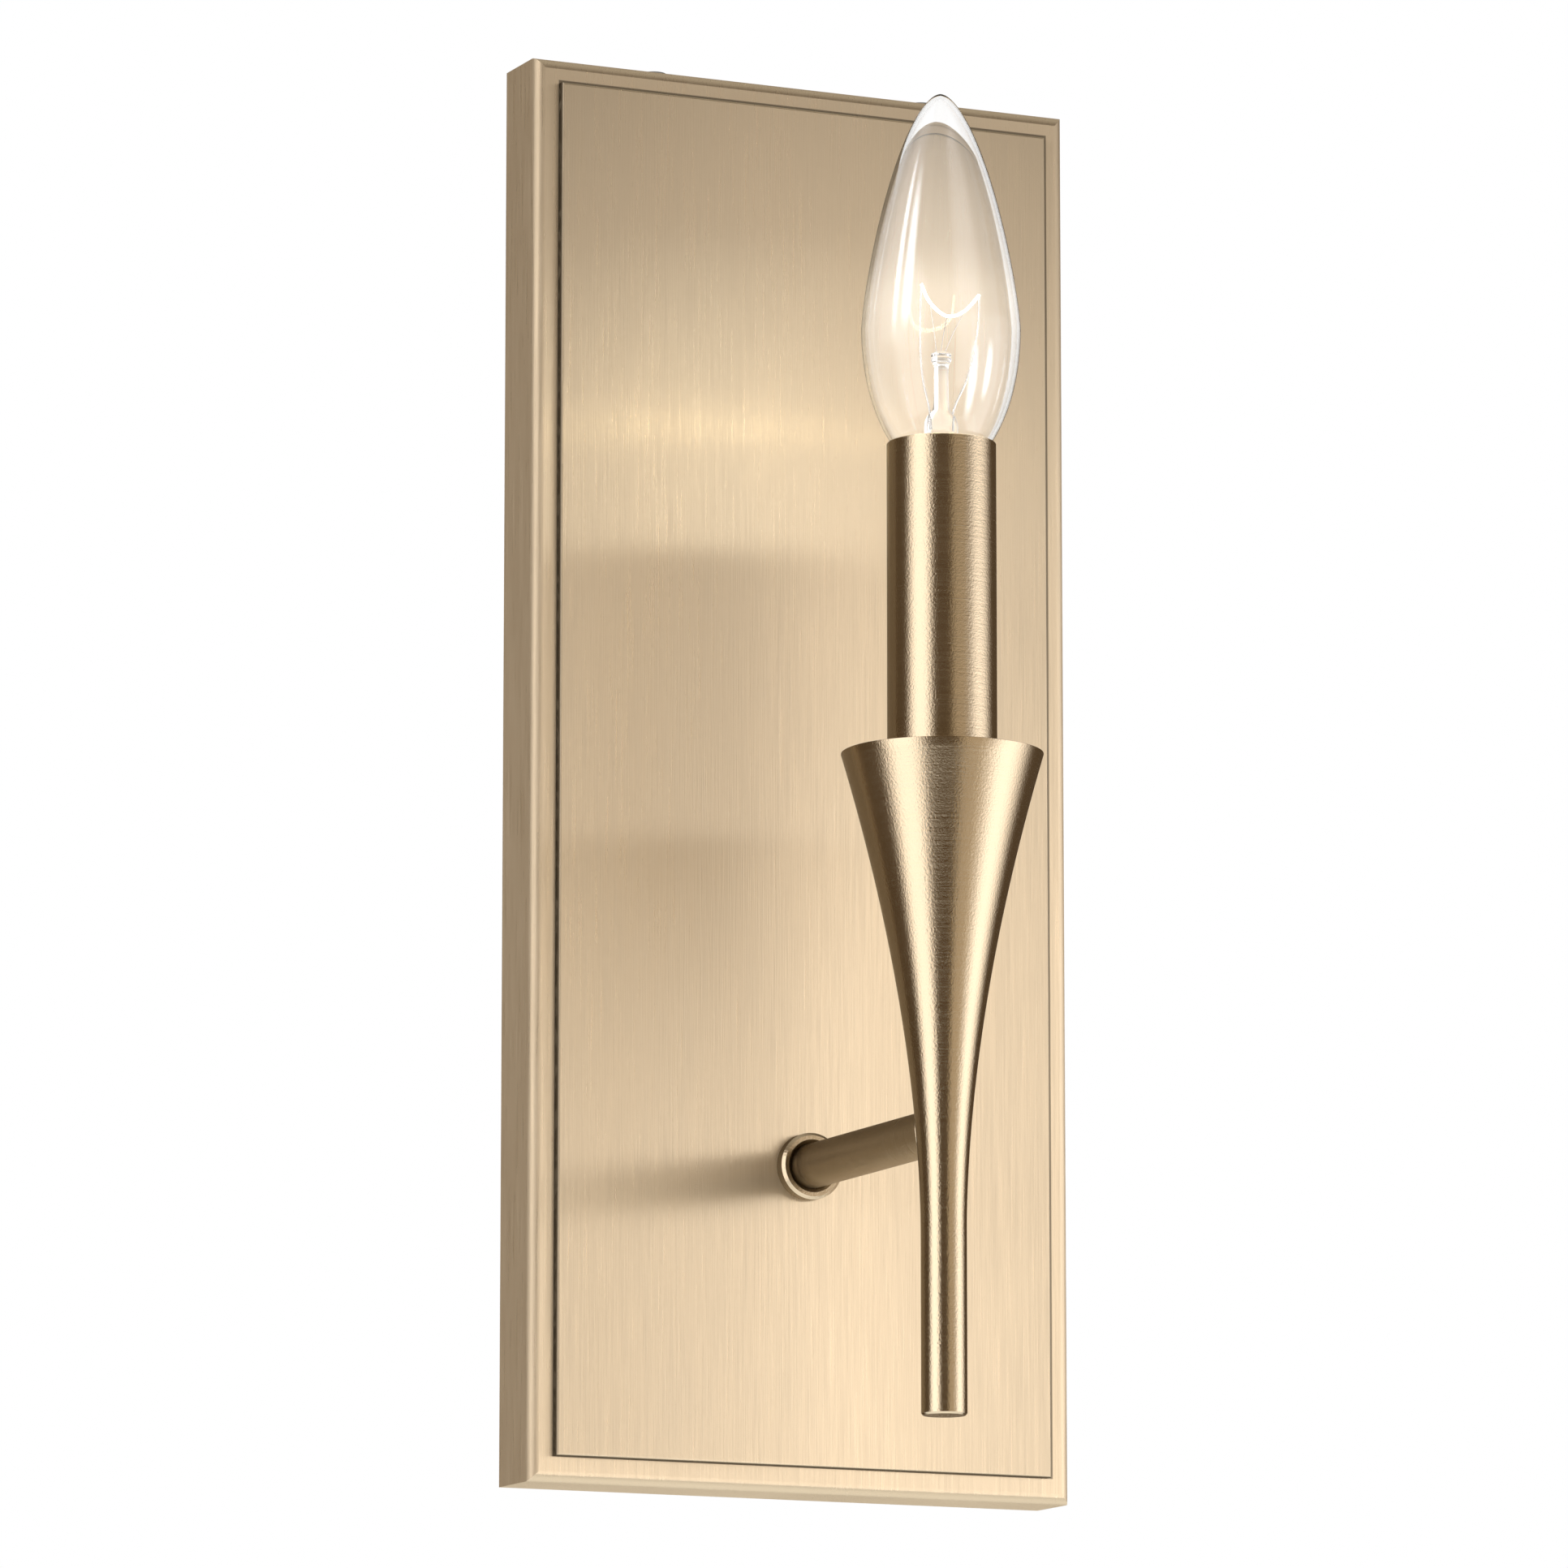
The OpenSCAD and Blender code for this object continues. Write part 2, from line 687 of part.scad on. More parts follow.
module lamp_base() {
    shell = 0.35;
    wave = thread_wave(base_r, base_depth, base_bottom, thread_turns);
    color(BRASS) on_candle() rotate_extrude() polygon(concat(
        wave,
        [[base_collar_r - 0.3, base_thread_top + 0.3], [base_collar_r, base_thread_top + 0.8],
            [base_collar_r, base_top], [base_collar_r - shell, base_top]],
        [for (i = [len(wave) - 1:-1:0]) [wave[i][0] - shell, wave[i][1]]]
    ));
}

module lamp_insulator() {
    color("#1c1a22") on_candle() translate([0, 0, contact_z + 1])
        cylinder(r1 = 2.8, r2 = base_r - base_depth - 0.4, h = base_bottom + 1 - contact_z);
}

module lamp_contact() {
    color(STEEL) on_candle() {
        translate([0, 0, contact_z + 0.4]) cylinder(r = 2.3, h = 0.6);
        translate([0, 0, contact_z]) cylinder(r1 = 1.6, r2 = 2.3, h = 0.4);
    }
}

// Flare sealed to the neck, the flat press that holds the wires, and the post with its button
module lamp_stem() {
    flare_r1 = 5.4;
    flare_r2 = 3.4;
    press_w = 7.4;
    press_t = 3.2;
    color([0.9, 0.93, 0.95, 0.5]) on_candle() {
        translate([0, 0, neck_z + 0.2]) cylinder(r1 = flare_r1, r2 = flare_r2, h = press_z - neck_z);
        translate([-press_w / 2, -press_t / 2, press_z]) cube([press_w, press_t, press_h]);
        translate([0, 0, press_z + press_h - eps]) cylinder(r = post_r, h = button_z - press_z - press_h + eps);
        translate([0, 0, button_z - button_r / 2]) cylinder(r = button_r / 2, h = button_r);
        translate([0, 0, button_z]) rotate_extrude() translate([button_r / 2, 0]) circle(r = button_r / 2);
    }
}

// Two lead-in wires from the press to the filament's ends, and three supports from the button
module lamp_wires() {
    wire_r = 0.25;
    support_r = 0.13;
    z0 = press_z + press_h + 0.1;
    color("#8f8f93") on_candle() {
        cable([[-2.6, 0, z0], [-4.6, -0.2, z0 + 9], [-5.1, -0.6, z0 + 18], filament[0] - [0, 0, 0.7]], wire_r);
        cable([[2.6, 0, z0], [6.2, -0.6, z0 + 9], [7.9, -1.4, z0 + 18], filament[4] - [0, 0, 0.7]], wire_r);
        for (i = [1:3]) {
            foot = [0.8 * (i - 2), 0.6, button_z + button_r / 2 + 0.1];
            cable([foot, (foot + filament[i]) / 2, filament[i] - [0, 0, 0.6]], support_r, sides = 6);
        }
    }
}

module lamp_filament() {
    coil_r = 0.35;
    color("#fff2c0") on_candle() cable(filament, coil_r, beside = [0, 0, 1], rings = 6);
}

box_strap();
pivot_nipple();
pivot_nut();
ground_screw();
hanger_bar();
lock_screws();
back_plate();
plate_hooks();
face_panel();
panel_studs();
panel_nuts();
arm_collar();
arm_tube();
arm_washer();
ground_terminal();
arm_nut();
trumpet_shell();
center_tube();
seat_disc();
seat_nut();
socket_cap();
socket_body();
socket_shell();
socket_contact();
socket_rivets();
live_lead();
neutral_lead();
ground_lead();
wire_nuts();
candle_sleeve();
lamp_glass();
lamp_base();
lamp_insulator();
lamp_contact();
lamp_stem();
lamp_wires();
lamp_filament();
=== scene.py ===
"""Looks for the wall sconce: brushed bronze, clear candle lamp with a lit filament, pale studio."""

import math

import bpy
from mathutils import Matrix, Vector


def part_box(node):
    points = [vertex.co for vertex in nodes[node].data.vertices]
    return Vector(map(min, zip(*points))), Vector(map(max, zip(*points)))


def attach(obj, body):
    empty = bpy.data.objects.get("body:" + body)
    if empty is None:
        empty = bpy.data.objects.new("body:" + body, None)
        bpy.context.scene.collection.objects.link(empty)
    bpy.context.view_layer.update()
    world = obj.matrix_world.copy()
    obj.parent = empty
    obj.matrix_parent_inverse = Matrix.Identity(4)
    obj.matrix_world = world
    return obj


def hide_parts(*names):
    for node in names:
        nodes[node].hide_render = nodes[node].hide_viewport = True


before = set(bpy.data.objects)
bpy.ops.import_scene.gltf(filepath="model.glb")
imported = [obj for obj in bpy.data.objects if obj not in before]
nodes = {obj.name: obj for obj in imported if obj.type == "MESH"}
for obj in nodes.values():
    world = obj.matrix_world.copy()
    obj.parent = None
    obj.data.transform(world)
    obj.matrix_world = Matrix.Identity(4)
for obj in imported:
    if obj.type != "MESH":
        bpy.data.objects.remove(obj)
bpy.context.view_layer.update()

MM = 0.001

# ---- Places read from the frame ----

panel_lo, panel_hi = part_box("face_panel")
trumpet_lo, trumpet_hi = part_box("trumpet_shell")
arm_lo, arm_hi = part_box("arm_tube")
glass_lo, glass_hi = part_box("lamp_glass")
stem_lo, stem_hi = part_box("lamp_stem")
filament_lo, filament_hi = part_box("lamp_filament")

candle = Vector(((trumpet_lo.x + trumpet_hi.x) / 2, (trumpet_lo.y + trumpet_hi.y) / 2, 0))
arm_z = (arm_lo.z + arm_hi.z) / 2
arm_r = (arm_hi.x - arm_lo.x) / 2
rim_z = trumpet_hi.z
rim_r = (trumpet_hi.x - trumpet_lo.x) / 2
glass_r = (glass_hi.x - glass_lo.x) / 2

# ---- Node trees ----

NOISE_LOW, NOISE_HIGH = 0.3, 0.7  # values between which most of a noise texture lies


class Tree:
    """Node tree of a material, world or light, built by named calls."""

    def __init__(self, owner):
        owner.use_nodes = True
        self.graph = owner.node_tree
        self.graph.nodes.clear()

    def add(self, kind, settings=None, **inputs):
        """New node of that kind. Inputs are values or sockets, and _ stands for a space in their names."""
        node = self.graph.nodes.new(kind)
        for key, value in (settings or {}).items():
            setattr(node, key, value)
        for key, value in inputs.items():
            self.plug(node.inputs[key.replace("_", " ")], value)
        return node

    def plug(self, socket, value):
        if isinstance(value, bpy.types.NodeSocket):
            self.graph.links.new(value, socket)
        else:
            socket.default_value = value

    def math(self, operation, a, b=0.0):
        node = self.graph.nodes.new("ShaderNodeMath")
        node.operation = operation
        self.plug(node.inputs[0], a)
        self.plug(node.inputs[1], b)
        return node.outputs[0]

    def ramp(self, value, stops, blend="LINEAR"):
        """Colour ramp through stops, a list of (position, colour)."""
        node = self.add("ShaderNodeValToRGB", Fac=value)
        node.color_ramp.interpolation = blend
        spots = node.color_ramp.elements
        while len(spots) < len(stops):
            spots.new(0.5)
        for spot, (position, colour) in zip(spots, stops):
            spot.position = position
            spot.color = (*colour, 1)
        return node.outputs["Color"]

    def span(self, value, low, high, start=0.0, end=1.0):
        """value taken from low..high to start..end, and held there beyond them."""
        node = self.add(
            "ShaderNodeMapRange", Value=value, From_Min=low, From_Max=high, To_Min=start, To_Max=end
        )
        return node.outputs["Result"]

    def place(self):
        """X, Y and Z of the shaded point, in metres of the piece's own frame."""
        where = self.add("ShaderNodeTexCoord").outputs["Object"]
        return self.add("ShaderNodeSeparateXYZ", Vector=where).outputs

    def grain(self, scale, detail=4.0, roughness=0.6, distortion=0.0):
        """Noise with about scale features a metre. scale is one number, or three for X, Y and Z."""
        if not isinstance(scale, tuple):
            scale = (scale, scale, scale)
        where = self.add("ShaderNodeTexCoord").outputs["Object"]
        placed = self.add("ShaderNodeMapping", Vector=where, Scale=scale).outputs["Vector"]
        return self.add(
            "ShaderNodeTexNoise", Vector=placed, Scale=1.0, Detail=detail, Roughness=roughness,
            Distortion=distortion,
        ).outputs["Fac"]

    def spread(self, noise, start, end):
        """A noise taken to start..end."""
        return self.span(noise, NOISE_LOW, NOISE_HIGH, start, end)

    def mottle(self, noise, colours):
        """Colour that a noise blends between two."""
        return self.ramp(noise, [(NOISE_LOW, colours[0]), (NOISE_HIGH, colours[1])])

    def relief(self, noise, depth):
        """Normal of a surface that a noise makes uneven. depth is in metres."""
        bump = self.add("ShaderNodeBump", Strength=1.0, Distance=depth, Height=noise)
        return bump.outputs["Normal"]

    def mirrored(self):
        """1 on rays that a polished part mirrors, and 0 on others, such as a ray through clear glass, which
        counts as both kinds."""
        path = self.add("ShaderNodeLightPath").outputs
        share = self.math("SUBTRACT", path["Is Glossy Ray"], path["Is Transmission Ray"])
        return self.math("MAXIMUM", share, 0.0)


def grey(value):
    return (value, value, value)


def new_material(name):
    material = bpy.data.materials.new(name)
    return material, Tree(material)


def finish_surface(tree, shader):
    tree.add("ShaderNodeOutputMaterial", Surface=shader.outputs["BSDF"])


def paint(piece, material):
    """One material on a new piece or on a CAD node, whose slots are kept."""
    if piece.data.materials:
        for slot in piece.material_slots:
            slot.material = material
    else:
        piece.data.materials.append(material)


# ---- Shapes ----

CREASE = 35                       # degrees between two faces beyond which their edge stays sharp
SOFT_CREASE = 60                  # the same, on glass
ON_AXIS = 1e-7                    # radius below which a ring is one point on the axis
BEND_STEPS = 8                    # straight pieces between two points of a bent wire


def smooth_mesh(name, points, faces, crease=CREASE):
    """Object with smooth shading but for edges sharper than the given angle."""
    mesh = bpy.data.meshes.new(name)
    mesh.from_pydata(points, [], faces)
    mesh.validate()
    mesh.shade_smooth()
    mesh.set_sharp_from_angle(angle=math.radians(crease))
    piece = bpy.data.objects.new(name, mesh)
    bpy.context.scene.collection.objects.link(piece)
    return piece


def loft(name, rings, crease=CREASE, closed=False):
    """Skin over rings of equally many points, and back to the first if closed. A ring may be a single
    point at either end."""
    points, starts, faces = [], [], []
    for ring in rings:
        starts.append((len(points), len(ring)))
        points.extend(ring)
    following = starts[1:] + starts[:1] if closed else starts[1:]
    for (a, count_a), (b, count_b) in zip(starts, following):
        count = max(count_a, count_b)
        for i in range(count):
            j = (i + 1) % count
            if count_a == 1:
                faces.append((a, b + j, b + i))
            elif count_b == 1:
                faces.append((a + i, a + j, b))
            else:
                faces.append((a + i, a + j, b + j, b + i))
    return smooth_mesh(name, points, faces, crease)


def circle(radius, z, steps):
    """Ring about the candle's axis."""
    if radius < ON_AXIS:
        return [(candle.x, candle.y, z)]
    angles = [2 * math.pi * i / steps for i in range(steps)]
    return [(candle.x + radius * math.cos(a), candle.y + radius * math.sin(a), z) for a in angles]


def new_curve(name, radius, resolution):
    """Piece of round wire with no route yet, and its curve."""
    curve = bpy.data.curves.new(name, "CURVE")
    curve.dimensions = "3D"
    curve.bevel_depth = radius
    curve.bevel_resolution = resolution
    piece = bpy.data.objects.new(name, curve)
    bpy.context.scene.collection.objects.link(piece)
    return piece, curve


def bent_wires(name, routes, radius, resolution=3):
    """Round wires along smooth curves through routes, lists of points."""
    piece, curve = new_curve(name, radius, resolution)
    curve.use_fill_caps = True
    curve.resolution_u = BEND_STEPS
    for route in routes:
        spline = curve.splines.new("BEZIER")
        spline.bezier_points.add(len(route) - 1)
        for point, place in zip(spline.bezier_points, route):
            point.co = place
            point.handle_left_type = "AUTO"
            point.handle_right_type = "AUTO"
    return piece


def traced_wire(name, route, radius, resolution, closed=False):
    """Round wire straight from point to point of a fine route."""
    piece, curve = new_curve(name, radius, resolution)
    spline = curve.splines.new("POLY")
    spline.points.add(len(route) - 1)
    for point, place in zip(spline.points, route):
        point.co = (*place, 1)
    spline.use_cyclic_u = closed
    return piece


# ---- Painted shade ----

PAINTED_SHADOW_TONE = 0.34                   # share of the colour that is left in the painted shadow line around the panel
PAINTED_SHADOW_NEAR = 0.05 * MM              # how far the painted shadow reaches to the left of the panel and below it
PAINTED_SHADOW_RIGHT = 1.05 * MM             # how far to its right
PAINTED_SHADOW_ABOVE = 0.70 * MM             # how far above it
PAINTED_SHADOW_FADE = 0.12 * MM              # over which the painted shadow ends
RIM_BRIGHT = -0.22 * MM           # the panel is bright where it is further inside its outline than this, and as dark as the painted shadow from here outwards, so on its side walls
RIM_DARK = -0.12 * MM             # and as dark as the gap from here outwards, so on its side walls
BRIGHT_LEFT, BRIGHT_RIGHT = -10 * MM, 14 * MM  # X between which the panel's face keeps its full brightness
SIDE_FADE = 45 * MM               # distance from there at which it is down to SIDE_TONE of it
SIDE_TONE = 0.87
ANY_HEIGHT = 1.0                  # metres, far beyond the panel's ends
MIRRORED = 0.34                   # share of a part's brightness that polished parts show of it, as painted shade on its reflections


def outside(tree, x0, x1, z0, z1):
    """How far a point lies outside a rectangle seen from the front; negative inside it."""
    place = tree.place()
    beyond = []
    for value, low, high in ((place["X"], x0, x1), (place["Z"], z0, z1)):
        offset = tree.math("ABSOLUTE", tree.math("SUBTRACT", value, (low + high) / 2))
        beyond.append(tree.math("SUBTRACT", offset, (high - low) / 2))
    return tree.math("MAXIMUM", *beyond)


def less_when_mirrored(tree, share):
    """Painted shade on reflections: keep only MIRRORED of a share in what other polished parts show of this
    one.
    It stands for no effect of the metal: without it the arm and the sleeve's edge come out lighter than in
    the photo."""
    return tree.math("MULTIPLY", share, tree.span(tree.mirrored(), 0.0, 1.0, 1.0, MIRRORED))


def panel_shade(tree):
    """Painted shade: dark side walls, and a face a little darker towards its left and right, where studio
    light falls off."""
    outline = outside(tree, panel_lo.x, panel_hi.x, panel_lo.z, panel_hi.z)
    wall = tree.span(outline, RIM_BRIGHT, RIM_DARK, 1.0, PAINTED_SHADOW_TONE)
    bright = outside(tree, BRIGHT_LEFT, BRIGHT_RIGHT, -ANY_HEIGHT, ANY_HEIGHT)
    sides = tree.span(bright, 0.0, SIDE_FADE, 1.0, SIDE_TONE)
    return less_when_mirrored(tree, tree.math("MULTIPLY", wall, sides))


def plate_shade(tree):
    """Painted shade: a dark line on the plate around the panel, wide enough to the right and above to show
    past the panel's thickness."""
    beyond = outside(
        tree, panel_lo.x - PAINTED_SHADOW_NEAR, panel_hi.x + PAINTED_SHADOW_RIGHT, panel_lo.z - PAINTED_SHADOW_NEAR, panel_hi.z + PAINTED_SHADOW_ABOVE
    )
    return less_when_mirrored(tree, tree.span(beyond, 0.0, PAINTED_SHADOW_FADE, PAINTED_SHADOW_TONE, 1.0))


def arm_shade(tree):
    """Painted shade: none, but for what other polished parts show of the arm and collar."""
    return less_when_mirrored(tree, 1.0)


# ---- Metals ----

BRONZE = ((0.86, 0.70, 0.475), (0.93, 0.78, 0.55))
STREAK_LOW, STREAK_HIGH = 0.25, 0.75  # values of the brushing's noise that get the darker and lighter bronze
STREAK_TONE, CLOUD_TONE = 0.55, 0.45  # shares of that change that come from the brushing and from the stains
CLOUD_ROUGH = (-0.015, 0.02)      # what the stains add to the roughness
SPECKS = 2200.0                   # specks of the polish, per metre
BROADER = 12                      # how much broader than its fine skin a cast metal's clouds are
SKIN_ROUGH = (-0.04, 0.04)        # what those clouds add to the roughness
MOULD_GRAIN = 700.0               # skin of a moulded part, per metre
MOULD_BROADER = 10
MOULD_BUMP = 1.5e-5


def brushed_metal(name, grain, cloud, tangent, roughness, bump, speckle=0.0, metallic=1.0, anisotropy=1.0,
                  shade=None):
    """Brushed bronze. grain is fine across the brushing and slow along it, cloud is the scale of its broad
    stains, and tangent is the way that highlights smear. bump and speckle are depths in metres, and shade
    gives the share of the colour that is kept."""
    material, tree = new_material(name)
    streaks = tree.grain(grain, detail=3.0, roughness=0.7)
    clouds = tree.grain(cloud, detail=4.0, roughness=0.55, distortion=0.4)
    streak_tone = tree.span(streaks, STREAK_LOW, STREAK_HIGH, 0.0, STREAK_TONE)
    tone = tree.math("ADD", streak_tone, tree.spread(clouds, 0.0, CLOUD_TONE))
    colour = tree.ramp(tone, [(0.0, BRONZE[0]), (1.0, BRONZE[1])])
    if shade:
        scaled = tree.add("ShaderNodeVectorMath", {"operation": "SCALE"}, Vector=colour, Scale=shade(tree))
        colour = scaled.outputs[0]
    rough = tree.math("ADD", tree.spread(streaks, *roughness), tree.spread(clouds, *CLOUD_ROUGH))
    normal = tree.relief(streaks, bump)
    if speckle:
        specks = tree.grain(SPECKS, detail=2.0)
        normal = tree.add(
            "ShaderNodeBump", Strength=1.0, Distance=speckle, Height=specks, Normal=normal
        ).outputs["Normal"]
    smear = tree.add(
        "ShaderNodeVectorTransform",
        {"vector_type": "VECTOR", "convert_from": "OBJECT", "convert_to": "WORLD"},
        Vector=tangent,
    ).outputs["Vector"]
    shader = tree.add(
        "ShaderNodeBsdfPrincipled", Base_Color=colour, Metallic=metallic, Roughness=rough,
        Anisotropic=anisotropy, Normal=normal, Tangent=smear,
    )
    finish_surface(tree, shader)
    return material


def cast_metal(name, colours, roughness, grain=900.0, bump=8e-6):
    """Plated or zinc-dipped metal with a fine uneven skin."""
    material, tree = new_material(name)
    fine = tree.grain(grain, detail=5.0)
    broad = tree.grain(grain / BROADER, detail=3.0, distortion=0.8)
    rough = tree.math("ADD", tree.spread(fine, *roughness), tree.spread(broad, *SKIN_ROUGH))
    shader = tree.add(
        "ShaderNodeBsdfPrincipled", Base_Color=tree.mottle(broad, colours), Metallic=1.0, Roughness=rough,
        Normal=tree.relief(fine, bump),
    )
    finish_surface(tree, shader)
    return material


def moulded(name, colours, roughness, specular=0.5):
    """Moulded plastic, fibre or insulation."""
    material, tree = new_material(name)
    fine = tree.grain(MOULD_GRAIN, detail=4.0)
    broad = tree.grain(MOULD_GRAIN / MOULD_BROADER, detail=2.0)
    shader = tree.add(
        "ShaderNodeBsdfPrincipled", Base_Color=tree.mottle(broad, colours),
        Roughness=tree.spread(fine, *roughness), Normal=tree.relief(fine, MOULD_BUMP),
    )
    shader.inputs["Specular IOR Level"].default_value = specular
    finish_surface(tree, shader)
    return material


# ---- Glass and light ----

GLOW_REACH = 34 * MM              # how far above and below the filament the glass's painted glow still changes
GLOW_COLOUR = (1.0, 0.90, 0.74, 1.0)
EDGE_FALL = 3.0                   # power at which the glow fades towards the glass's outline

# Share of the painted glow by height, from GLOW_REACH below the filament to as far above it: as the eye sees
# it, and as polished metal mirrors it
SEEN_GLOW = [(0.0, 0.30), (0.36, 0.45), (0.5, 1.0), (0.66, 0.40), (1.0, 0.16)]
MIRRORED_GLOW = [(0.0, 0.55), (0.3, 0.6), (0.5, 1.0), (0.62, 0.5), (0.8, 0.08), (1.0, 0.0)]


def painted_glass_glow(tree, glow, mirrored_glow):
    """Strength of the painted glow on the glass, which stands in for the filament's light: most level with
    the filament and where it faces the eye, and more in what polished metal shows of it."""
    middle = (filament_lo.z + filament_hi.z) / 2
    level = tree.span(tree.place()["Z"], middle - GLOW_REACH, middle + GLOW_REACH)
    seen_share, mirrored_share = (
        tree.ramp(level, [(position, grey(share)) for position, share in stops], "EASE")
        for stops in (SEEN_GLOW, MIRRORED_GLOW)
    )
    facing = tree.add("ShaderNodeLayerWeight", Blend=0.5).outputs["Facing"]
    inwards = tree.math("POWER", tree.math("SUBTRACT", 1.0, facing), EDGE_FALL)
    seen = tree.math("MULTIPLY", tree.math("MULTIPLY", inwards, seen_share), glow)
    shown = tree.math("MULTIPLY", mirrored_share, tree.math("MULTIPLY", tree.mirrored(), mirrored_glow))
    return tree.math("ADD", seen, shown)


def clear_glass(name, glow=0.0, mirrored_glow=0.0, ripple=2.5e-5, coat=1.5):
    """Clear blown glass with faint ripples, of the given depth in metres. glow is the strength of a painted
    warm glow level with the filament, and mirrored_glow how much more of it polished metal nearby shows."""
    material, tree = new_material(name)
    ripples = tree.grain((45.0, 45.0, 110.0), detail=2.0, distortion=0.6)
    shader = tree.add(
        "ShaderNodeBsdfPrincipled", Base_Color=(1.0, 1.0, 1.0, 1.0), Roughness=0.0, IOR=1.48,
        Transmission_Weight=1.0, Normal=tree.relief(ripples, ripple), Coat_Weight=1.0, Coat_Roughness=0.0,
        Coat_IOR=coat,
    )
    if glow:
        # painted glow on the glass, standing in for the filament's light
        shader.inputs["Emission Color"].default_value = GLOW_COLOUR
        tree.plug(shader.inputs["Emission Strength"], painted_glass_glow(tree, glow, mirrored_glow))
    finish_surface(tree, shader)
    return material


def hot_filament(name, strength):
    """Glowing tungsten."""
    material, tree = new_material(name)
    turns = tree.grain(2400.0, detail=2.0)
    shader = tree.add(
        "ShaderNodeBsdfPrincipled", Base_Color=(0.3, 0.28, 0.26, 1.0), Roughness=0.5, Metallic=1.0,
        Emission_Color=tree.mottle(turns, ((1.0, 0.80, 0.46), (1.0, 0.93, 0.72))),
        Emission_Strength=strength,
    )
    finish_surface(tree, shader)
    return material


# ---- Materials in use ----

ACROSS, ALONG = 2600.0, 45.0      # grain of the brushing, per metre
SATIN, POLISHED = (0.26, 0.36), (0.18, 0.27)

panel_bronze = brushed_metal(
    "panel_bronze", grain=(ACROSS, 40.0, ALONG), cloud=(18.0, 18.0, 5.0), tangent=(1.0, 0.0, 0.0),
    roughness=SATIN, bump=4.6e-5, metallic=0.93, shade=panel_shade,
)
plate_bronze = brushed_metal(
    "plate_bronze", grain=(ACROSS, ACROSS, ALONG), cloud=(18.0, 18.0, 5.0), tangent=(1.0, 1.0, 0.0),
    roughness=SATIN, bump=4.0e-5, metallic=0.93, shade=plate_shade,
)
candle_bronze = brushed_metal(
    "candle_bronze", grain=(70.0, 70.0, ACROSS), cloud=(25.0, 25.0, 8.0), tangent=(0.0, 0.0, 1.0),
    roughness=POLISHED, bump=3.2e-5, speckle=5.0e-5, anisotropy=0.75,
)
arm_bronze = brushed_metal(
    "arm_bronze", grain=(90.0, ACROSS, 90.0), cloud=(25.0, 8.0, 25.0), tangent=(0.0, 1.0, 0.0),
    roughness=POLISHED, bump=3.2e-5, speckle=5.0e-5, anisotropy=0.75, shade=arm_shade,
)
zinc = cast_metal("zinc_plate", ((0.56, 0.58, 0.60), (0.62, 0.64, 0.66)), (0.28, 0.42))
green_zinc = cast_metal("green_screw_finish", ((0.05, 0.30, 0.10), (0.08, 0.40, 0.15)), (0.25, 0.4))
spun_brass = cast_metal("spun_brass", ((0.78, 0.57, 0.23), (0.86, 0.66, 0.30)), (0.18, 0.3), bump=4e-6)
nickel_wire = cast_metal("nickel_wire", ((0.42, 0.40, 0.38), (0.62, 0.60, 0.57)), (0.2, 0.35), grain=3000.0)
phenolic = moulded("brown_phenolic", ((0.022, 0.014, 0.010), (0.045, 0.030, 0.022)), (0.3, 0.45))
vitrite = moulded("black_vitrite", ((0.008, 0.008, 0.012), (0.02, 0.02, 0.03)), (0.1, 0.2), specular=0.6)
black_cover = moulded("black_insulation", ((0.010, 0.010, 0.011), (0.022, 0.022, 0.024)), (0.4, 0.55))
white_cover = moulded("white_insulation", ((0.62, 0.61, 0.57), (0.74, 0.73, 0.69)), (0.4, 0.55))
green_cover = moulded("green_insulation", ((0.02, 0.17, 0.05), (0.03, 0.24, 0.08)), (0.4, 0.55))
orange_plastic = moulded("orange_plastic", ((0.62, 0.16, 0.02), (0.78, 0.23, 0.03)), (0.35, 0.5))
# The lamp glass gets a painted glow level with the filament, and more of it in polished metal
envelope_glass = clear_glass("lamp_clear_glass", glow=0.12, mirrored_glow=0.17, coat=1.1)
stem_glass = clear_glass("lamp_lead_glass", ripple=6e-5)
filament_light = hot_filament("lit_tungsten", 60.0)

FINISHES = {
    "back_plate": plate_bronze,
    "face_panel": panel_bronze,
    "arm_collar": arm_bronze,
    "arm_tube": arm_bronze,
    "candle_sleeve": candle_bronze,
    "seat_disc": candle_bronze,
    "ground_screw": green_zinc,
    "socket_body": phenolic,
    "socket_shell": spun_brass,
    "socket_contact": spun_brass,
    "lamp_base": spun_brass,
    "lamp_insulator": vitrite,
    "live_lead": black_cover,
    "neutral_lead": white_cover,
    "ground_lead": green_cover,
    "wire_nuts": orange_plastic,
}

for name, node in nodes.items():
    paint(node, FINISHES.get(name, zinc))

# ---- Trumpet ----

FLARE_H = 99.3 * MM               # height over which the stem opens to the rim
FLARE_POWER = 1.8
FLARE_STEPS = 48
FOOT_CHAMFER = 0.4 * MM
SHELL_T = 1.6 * MM
HOLLOW_H = 54.8 * MM              # depth of the hollow below the rim
HOLLOW_STEPS = 28
NECK_R = 4.05 * MM
NECK_H = 66.8 * MM                # depth at which the tapped neck ends
LIP = 0.25 * MM                   # rounding of the rim
TRUMPET_SIDES = 192
BRAZE_R = 0.32 * MM
BRAZE_OUT = 0.1 * MM              # how far outside the arm the fillet's middle runs
BRAZE_STEPS = 48


def flare(z):
    """Radius of the trumpet's outside at height z."""
    share = max(0.0, (z - rim_z + FLARE_H) / FLARE_H)
    return arm_r + (rim_r - arm_r) * share ** FLARE_POWER


